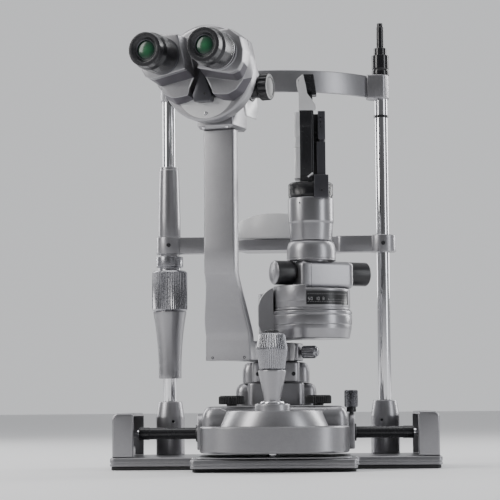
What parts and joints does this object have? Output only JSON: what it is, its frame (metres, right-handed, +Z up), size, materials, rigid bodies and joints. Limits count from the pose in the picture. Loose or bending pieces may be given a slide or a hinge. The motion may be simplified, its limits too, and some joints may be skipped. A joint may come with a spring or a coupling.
{
  "type": "slit lamp",
  "caption": "Table-top slit lamp with a binocular microscope and lamp tower that swing on one pivot, a joystick base on a rack-driven axle, and a chin and forehead rest.",
  "frame": {"origin": "centre of the flat underside of the rubber mat, on the table", "axes": "+Z up, +Y from the operator towards the patient's forehead rest, +X to the operator's right"},
  "size_m": [0.382, 0.4471, 0.539],
  "materials": {
    "satin_silver": "satin silver paint",
    "polished_steel": "polished chrome",
    "knurled_steel": "knurled steel",
    "black_metal": "black anodised",
    "black_plastic": "black",
    "rubber": "matte",
    "light_plastic": "light grey",
    "coated_glass": "green coated",
    "soft_pad": "soft pad"
  },
  "bodies": {
    "stand": {"base_mat": "rubber", "base_plate": "satin_silver", "friction_plate": "knurled_steel", "rail_cover_left": "satin_silver", "rail_cover_right": "satin_silver", "rack_left": "knurled_steel", "rack_right": "knurled_steel", "post_socket_left": "satin_silver", "post_socket_right": "satin_silver", "post_left": "polished_steel", "post_right": "polished_steel", "headband_frame": "satin_silver", "forehead_pad": "soft_pad", "fixation_collar": "black_metal", "chin_screw_housing": "satin_silver"},
    "fixation": {"fixation_rod": "black_metal"},
    "chinrest": {"chin_bar": "satin_silver", "chin_cup": "light_plastic", "chin_lift_sleeve": "satin_silver"},
    "chin_nut": {"chin_height_nut": "knurled_steel"},
    "carriage": {"axle_tube": "black_metal"},
    "pinion_axle": {"pinion_shaft": "polished_steel", "pinion_left": "knurled_steel", "pinion_right": "knurled_steel"},
    "base": {"base_housing": "satin_silver", "base_flange_left": "satin_silver", "base_flange_right": "satin_silver", "slide_foot": "black_plastic", "column_housing": "satin_silver"},
    "knob_left": {"base_knob_left": "black_plastic"},
    "knob_right": {"base_knob_right": "black_plastic"},
    "lock": {"lock_screw": "knurled_steel"},
    "gimbal": {"joystick_gimbal": "polished_steel"},
    "stick": {"joystick_stem": "polished_steel"},
    "grip": {"joystick_grip": "knurled_steel"},
    "button": {"joystick_button": "black_plastic"},
    "elevator": {"elevating_column": "polished_steel", "pivot_block": "satin_silver"},
    "microscope": {"microscope_arm": "satin_silver", "arm_bracket": "satin_silver", "microscope_body": "satin_silver", "objective_lens": "coated_glass"},
    "magnifier": {"magnification_knobs": "black_plastic"},
    "pod_right": {"prism_pod_right": "satin_silver"},
    "pod_left": {"prism_pod_left": "satin_silver"},
    "ocular_right": {"eyepiece_right": "black_plastic", "eye_lens_right": "coated_glass"},
    "ocular_left": {"eyepiece_left": "black_plastic", "eye_lens_left": "coated_glass"},
    "clamp": {"swing_clamp_knob": "knurled_steel"},
    "illuminator": {"illuminator_hub": "satin_silver", "lamp_house": "satin_silver", "control_drum": "satin_silver", "slit_housing": "satin_silver", "projector_tube": "satin_silver", "tower": "black_metal", "prism_head": "light_plastic"},
    "slit_control": {"slit_knobs": "black_plastic"},
    "aperture_control": {"aperture_ring": "black_metal"},
    "filter_control": {"filter_lever": "light_plastic"}
  },
  "joints": [
    {"name": "fixation_rod_turn", "type": "hinge", "parent": "stand", "child": "fixation", "pos_m": [0.13, 0.0975, 0.49], "axis": [0, 0, 1], "range_deg": [-170, 170]},
    {"name": "chin_lift", "type": "slide", "parent": "stand", "child": "chinrest", "axis": [0, 0, 1], "range_m": [-0.0025, 0.06]},
    {"name": "chin_nut_turn", "type": "hinge", "parent": "stand", "child": "chin_nut", "pos_m": [-0.13, 0.0975, 0.22], "axis": [0, 0, 1], "continuous": true},
    {"name": "carriage_travel", "type": "slide", "parent": "stand", "child": "carriage", "axis": [0, 1, 0], "range_m": [-0.006, 0.025]},
    {"name": "pinion_roll", "type": "hinge", "parent": "carriage", "child": "pinion_axle", "pos_m": [0, 0.0135, 0.041], "axis": [1, 0, 0], "range_deg": [-90, 45]},
    {"name": "base_travel", "type": "slide", "parent": "carriage", "child": "base", "axis": [1, 0, 0], "range_m": [-0.05, 0.05]},
    {"name": "left_knob_turn", "type": "hinge", "parent": "base", "child": "knob_left", "pos_m": [-0.0495, -0.0325, 0.078], "axis": [0, 0, 1], "range_deg": [0, 270]},
    {"name": "right_knob_turn", "type": "hinge", "parent": "base", "child": "knob_right", "pos_m": [0.0495, -0.0325, 0.078], "axis": [0, 0, 1], "range_deg": [0, 270]},
    {"name": "lock_screw_turn", "type": "hinge", "parent": "base", "child": "lock", "pos_m": [0.0878, 0.0135, 0.07], "axis": [0, 0, 1], "range_deg": [0, 180]},
    {"name": "joystick_fore_aft", "type": "hinge", "parent": "base", "child": "gimbal", "pos_m": [-0.001, -0.1165, 0.0755], "axis": [1, 0, 0], "range_deg": [-8, 8]},
    {"name": "joystick_side", "type": "hinge", "parent": "gimbal", "child": "stick", "pos_m": [-0.001, -0.1165, 0.0755], "axis": [0, 1, 0], "range_deg": [-8, 8]},
    {"name": "joystick_turn", "type": "hinge", "parent": "stick", "child": "grip", "pos_m": [-0.001, -0.1165, 0.132], "axis": [0, 0, 1], "continuous": true},
    {"name": "button_press", "type": "slide", "parent": "grip", "child": "button", "axis": [0, 0, -1], "range_m": [0, 0.0015], "stiffness_N_per_m": 400},
    {"name": "elevation", "type": "slide", "parent": "base", "child": "elevator", "axis": [0, 0, 1], "range_m": [0, 0.03]},
    {"name": "microscope_swing", "type": "hinge", "parent": "elevator", "child": "microscope", "pos_m": [0, 0.0375, 0.135], "axis": [0, 0, -1], "range_deg": [-45, 35]},
    {"name": "magnification_turn", "type": "hinge", "parent": "microscope", "child": "magnifier", "pos_m": [-0.05589, -0.11775, 0.423], "axis": [0.9409, -0.3387, 0], "continuous": true},
    {"name": "pod_right_swing", "type": "hinge", "parent": "microscope", "child": "pod_right", "pos_m": [-0.06323, -0.17356, 0.4365], "axis": [-0.3387, -0.9409, 0], "range_deg": [-5, 5]},
    {"name": "pod_left_swing", "type": "hinge", "parent": "microscope", "child": "pod_left", "pos_m": [-0.08581, -0.16543, 0.4365], "axis": [-0.3387, -0.9409, 0], "range_deg": [-5, 5]},
    {"name": "dioptre_right_turn", "type": "hinge", "parent": "pod_right", "child": "ocular_right", "pos_m": [-0.05636, -0.21854, 0.4502], "axis": [-0.3387, -0.9409, 0], "range_deg": [-90, 90]},
    {"name": "dioptre_left_turn", "type": "hinge", "parent": "pod_left", "child": "ocular_left", "pos_m": [-0.11978, -0.19571, 0.4502], "axis": [-0.3387, -0.9409, 0], "range_deg": [-90, 90]},
    {"name": "swing_clamp_turn", "type": "hinge", "parent": "microscope", "child": "clamp", "pos_m": [0.02823, 0.02734, 0.13485], "axis": [0.9409, -0.3387, 0], "range_deg": [0, 180]},
    {"name": "illuminator_swing", "type": "hinge", "parent": "elevator", "child": "illuminator", "pos_m": [0, 0.0375, 0.18], "axis": [0, 0, 1], "range_deg": [-60, 20]},
    {"name": "slit_width_turn", "type": "hinge", "parent": "illuminator", "child": "slit_control", "pos_m": [0.05257, -0.00103, 0.2253], "axis": [0.8988, 0.4384, 0], "range_deg": [0, 270]},
    {"name": "aperture_ring_turn", "type": "hinge", "parent": "illuminator", "child": "aperture_control", "pos_m": [0.04313, -0.00563, 0.322], "axis": [0, 0, 1], "continuous": true},
    {"name": "filter_lever_turn", "type": "hinge", "parent": "illuminator", "child": "filter_control", "pos_m": [0.04313, -0.0156, 0.3372], "axis": [0, -1, 0], "range_deg": [-25, 25]}
  ],
  "couplings": [
    {"joint": "chin_nut_turn", "follows": "chin_lift", "rad_per_m": 628.32},
    {"joint": "pinion_roll", "follows": "carriage_travel", "rad_per_m": -60.606},
    {"joint": "joystick_turn", "follows": "elevation", "rad_per_m": 785.4},
    {"joint": "pod_left_swing", "follows": "pod_right_swing", "ratio": -1}
  ]
}
